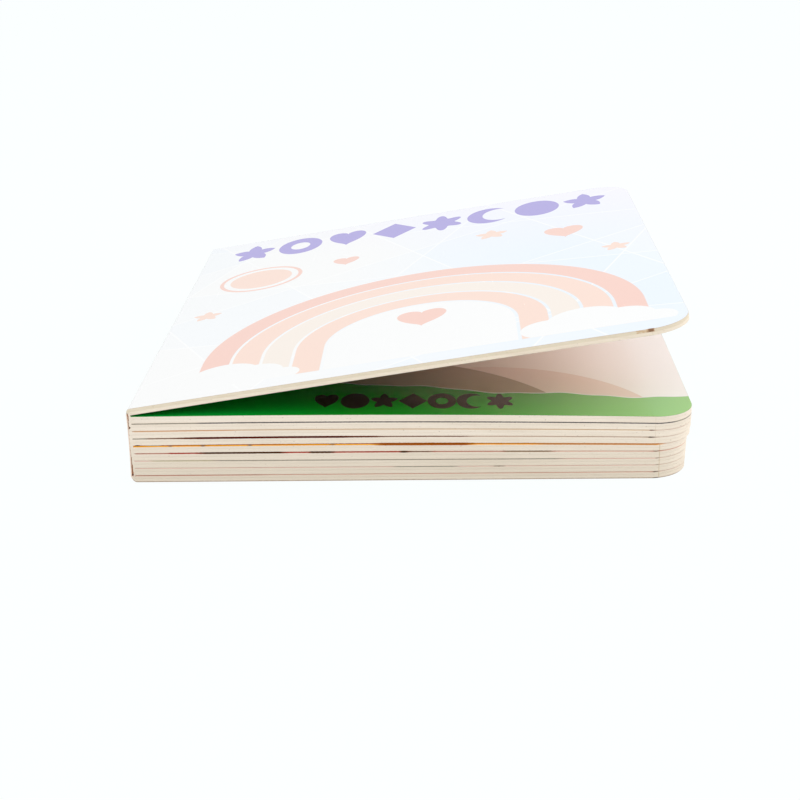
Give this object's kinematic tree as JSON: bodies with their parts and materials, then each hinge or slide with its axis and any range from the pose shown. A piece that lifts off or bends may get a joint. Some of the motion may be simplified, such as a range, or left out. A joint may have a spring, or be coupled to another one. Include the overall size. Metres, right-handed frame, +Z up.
{
  "type": "board book",
  "caption": "Board book with thick glued leaves, rounded fore-edge corners and a wrapped spine, lying on its back cover with the front cover standing ajar.",
  "frame": {"origin": "under the middle of the book, on the surface that it lies on", "axes": "+X from the spine to the fore-edge, +Y from the foot to the head, +Z up through the leaves"},
  "size_m": [0.16, 0.18, 0.046],
  "materials": {
    "laminated_cover": "gloss laminated print on board",
    "spine_wrap": "gloss laminated paper",
    "board_leaves": "gloss laminated print with bare cut edges"
  },
  "bodies": {
    "book_block": {"page_block": "board_leaves", "spine_panel": "spine_wrap"},
    "front_cover": {"front_cover": "laminated_cover"},
    "back_cover": {"back_cover": "laminated_cover"}
  },
  "joints": [
    {"name": "front_cover_hinge", "type": "hinge", "parent": "book_block", "child": "front_cover", "pos_m": [-0.08, 0, 0.01992], "axis": [0, -1, 0], "range_deg": [-8.58, 171.42]},
    {"name": "back_cover_hinge", "type": "hinge", "parent": "book_block", "child": "back_cover", "pos_m": [-0.08, 0, 0.00212], "axis": [0, 1, 0], "range_deg": [0, 180]}
  ]
}
